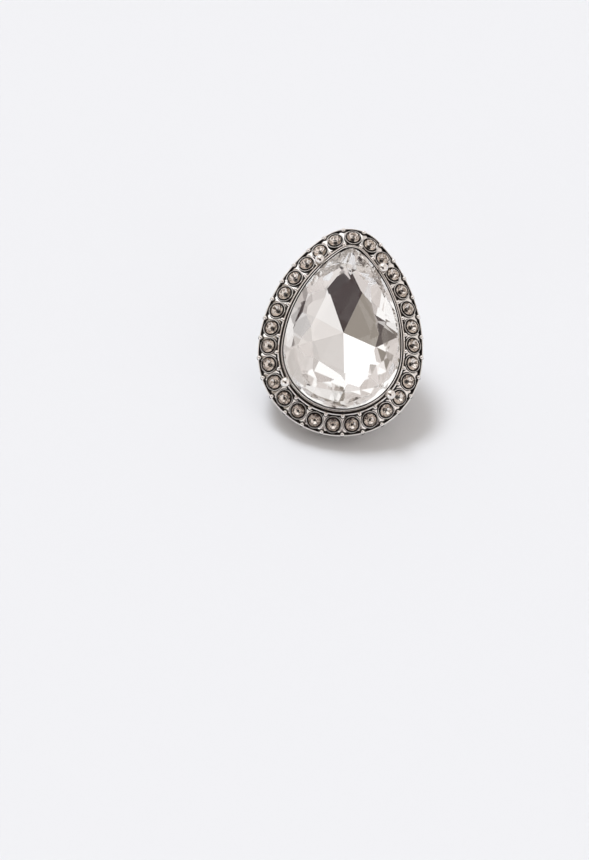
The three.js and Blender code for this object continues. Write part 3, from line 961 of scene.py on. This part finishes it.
# Softboxes and dark walls round the table: azimuth and elevation of the middle, half width and
# edge softness, all in degrees, then colour and strength. Azimuth 0 is +X and 90 is +Y.
STUDIO_AREAS = (
    ("beige_left", 208, 38, 22, 6, "#958d84", 1.1),
    ("low_card_left", 230, 12, 14, 6, "#ffffff", 1.2),
    ("brown_front", 245, 42, 16, 5, "#574d4a", 1.0),
    ("dark_front", 276, 38, 22, 6, "#291314", 1.0),
    ("pale_front_right", 322, 36, 18, 6, "#f4f3f3", 1.15),
    ("white_back", 88, 46, 18, 8, "#ffffff", 1.15),
    ("pale_right", 354, 36, 22, 8, "#e6e1de", 1.12),
    ("grey_back_right", 38, 60, 24, 6, "#d2cdca", 1.1),
    ("key_softbox", 138, 60, 24, 5, "#ffffff", 1.5),
    ("key_lamp", 129, 57, 9, 4, "#f3f7ff", 22.5),
)
SKY = "#e8e1de"

# Brightest light that a polished surface mirrors, where white is 1
BRIGHTEST_REFLECTION = 1.3

# Bounces that light between the facets and the foil needs, and half the paper's width in metres
BOUNCES = 48
FLOOR_HALF = 3.0


def aim(azimuth, elevation):
    """The direction of an azimuth and an elevation in degrees, one long."""
    a, e = math.radians(azimuth), math.radians(elevation)
    return (math.cos(a) * math.cos(e), math.sin(a) * math.cos(e), math.sin(e))


def studio_world():
    """Plain pale surroundings with softboxes and dark walls as smooth round areas: the cosine of
    the angle to an area's middle is mapped from its outer to its inner edge. Polished surfaces
    see the areas little brighter than white, as a picture's highlights clip, and the camera
    itself sees only the plain colour."""
    world = bpy.data.worlds.new("studio")
    world.use_nodes = True
    tree = world.node_tree
    tree.nodes.clear()
    way = add_node(tree, "TexCoord").outputs["Generated"]
    plain = linear(SKY)
    light = None
    for _, azimuth, elevation, half, soft, code, strength in STUDIO_AREAS:
        near = add_node(tree, "VectorMath", {"operation": "DOT_PRODUCT"}, _0=way,
                        _1=aim(azimuth, elevation))
        inside = add_node(tree, "MapRange", {"interpolation_type": "SMOOTHSTEP"},
                          Value=near.outputs["Value"],
                          From_Min=math.cos(math.radians(half + soft)),
                          From_Max=math.cos(math.radians(half - soft)))
        tone = np.array(linear(code)) * strength
        light = add_node(tree, "MixRGB", Fac=inside.outputs["Result"],
                         Color1=plain if light is None else light.outputs[0],
                         Color2=(*tone[:3].tolist(), 1.0))
    path = add_node(tree, "LightPath")
    clipped = add_node(tree, "VectorMath", {"operation": "MINIMUM"}, _0=light.outputs[0],
                       _1=(BRIGHTEST_REFLECTION,) * 3)
    mirrored = add_node(tree, "MixRGB", Fac=path.outputs["Is Glossy Ray"], Color1=light.outputs[0],
                        Color2=clipped.outputs[0])
    shown = add_node(tree, "MixRGB", Fac=path.outputs["Is Camera Ray"], Color1=mirrored.outputs[0],
                     Color2=plain)
    glow = add_node(tree, "Background", Color=shown.outputs[0], Strength=1.0)
    add_node(tree, "OutputWorld", Surface=glow.outputs[0])
    return world


def turn_about_z(angle):
    """The matrix that turns by an angle in degrees."""
    a = math.radians(angle)
    return np.array([[math.cos(a), -math.sin(a), 0], [math.sin(a), math.cos(a), 0], [0, 0, 1]])


def add_camera():
    """The photograph's view. Its axes are the object's, turned, raised and rolled, and its aim is
    moved so that the object's origin falls on its pixel."""
    rise = math.radians(CAMERA_ELEVATION)
    lift = np.array([[1, 0, 0],
                     [0, math.sin(rise), math.cos(rise)],
                     [0, -math.cos(rise), math.sin(rise)]])
    axes = turn_about_z(CAMERA_ROLL) @ lift @ turn_about_z(CAMERA_TURN)
    shift = np.array([PICTURE_WIDTH / 2 - ORIGIN_PIXEL[0], ORIGIN_PIXEL[1] - PICTURE_HEIGHT / 2])
    target = shift / PIXELS_PER_MM * MM @ axes[:2]
    camera = bpy.data.objects.new("camera", bpy.data.cameras.new("camera"))
    stand = Matrix.Translation(target + CAMERA_DISTANCE * axes[2])
    camera.matrix_world = stand @ Matrix(axes.T).to_4x4()
    focal_pixels = PIXELS_PER_MM / MM * CAMERA_DISTANCE
    camera.data.sensor_width = SENSOR
    camera.data.lens = SENSOR * focal_pixels / PICTURE_HEIGHT
    camera.data.clip_start, camera.data.clip_end = CLIP_START, CLIP_END
    bpy.context.scene.collection.objects.link(camera)
    bpy.context.scene.camera = camera


class EARRING_OT_studio(Operator):
    """Adds the paper floor, the light and the camera"""

    bl_idname = "earring.studio"
    bl_label = "Studio"

    def execute(self, context):
        scene = context.scene
        corners = [(x * FLOOR_HALF, y * FLOOR_HALF, 0) for x, y in ((-1, -1), (1, -1), (1, 1), (-1, 1))]
        mesh = bpy.data.meshes.new("paper_floor")
        mesh.from_pydata(corners, [], [(0, 1, 2, 3)])
        mesh.materials.append(matt_sheet())
        floor = bpy.data.objects.new("paper_floor", mesh)
        scene.collection.objects.link(floor)
        scene.world = studio_world()
        add_camera()
        scene.view_settings.view_transform = "Standard"
        scene.cycles.use_denoising = True
        scene.cycles.max_bounces = BOUNCES
        scene.cycles.glossy_bounces = BOUNCES
        scene.cycles.transmission_bounces = BOUNCES
        return {"FINISHED"}


class EARRING_PT_parts(Panel):
    """Buttons for the earring's pieces and its sizes"""

    bl_idname = "EARRING_PT_parts"
    bl_label = "Pear halo stud earring"
    bl_space_type = "VIEW_3D"
    bl_region_type = "UI"
    bl_category = "Earring"

    def draw(self, context):
        for operator in OPERATORS:
            self.layout.operator(operator.bl_idname)
        for group_name in GROUPS:
            group = getattr(context.scene, group_name)
            box = self.layout.box()
            for key in group.bl_rna.properties.keys():
                if key not in ("rna_type", "name"):
                    box.prop(group, key)


OPERATORS = (
    EARRING_OT_studio,
    EARRING_OT_setting,
    EARRING_OT_centre_stone,
    EARRING_OT_halo_stones,
    EARRING_OT_post,
)


def register():
    for group_name, group in GROUPS.items():
        bpy.utils.register_class(group)
        setattr(bpy.types.Scene, group_name, PointerProperty(type=group))
    for cls in (*OPERATORS, EARRING_PT_parts):
        bpy.utils.register_class(cls)


def unregister():
    for cls in (EARRING_PT_parts, *reversed(OPERATORS)):
        bpy.utils.unregister_class(cls)
    for group_name, group in reversed(GROUPS.items()):
        delattr(bpy.types.Scene, group_name)
        bpy.utils.unregister_class(group)


def main():
    register()
    bpy.ops.earring.studio()
    bpy.ops.earring.setting()
    bpy.ops.earring.centre_stone()
    bpy.ops.earring.halo_stones()
    bpy.ops.earring.post()


if __name__ == "__main__":
    main()
